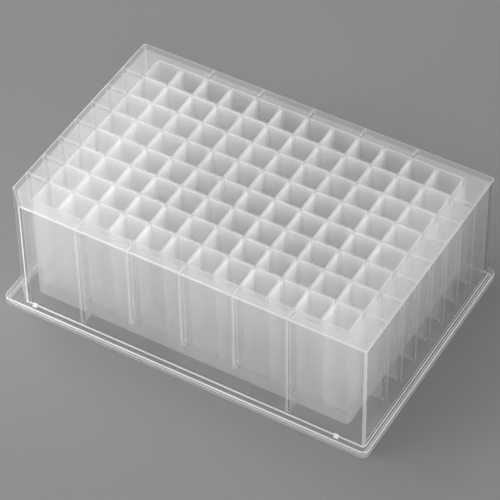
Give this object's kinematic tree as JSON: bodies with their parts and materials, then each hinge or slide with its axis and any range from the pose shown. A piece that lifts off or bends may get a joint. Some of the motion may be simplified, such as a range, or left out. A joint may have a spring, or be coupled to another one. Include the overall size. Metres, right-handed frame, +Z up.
{
  "type": "well plate",
  "caption": "Deep well plate with square wells in a rectangular grid, a ribbed skirt, a cut-off corner and a stacking flange, moulded in translucent plastic.",
  "frame": {"origin": "centre of the rectangular footprint on the table plane", "axes": "+X along the long side, from the first to the last column of wells; +Y along the short side, away from the cut-off corner; +Z up, out of the wells"},
  "size_m": [0.1278, 0.0854, 0.044],
  "materials": {
    "natural_polypropylene": "natural translucent polypropylene, smooth moulded surface, milky where walls overlap"
  },
  "bodies": {
    "root": {"well_plate": "natural_polypropylene"}
  },
  "joints": []
}
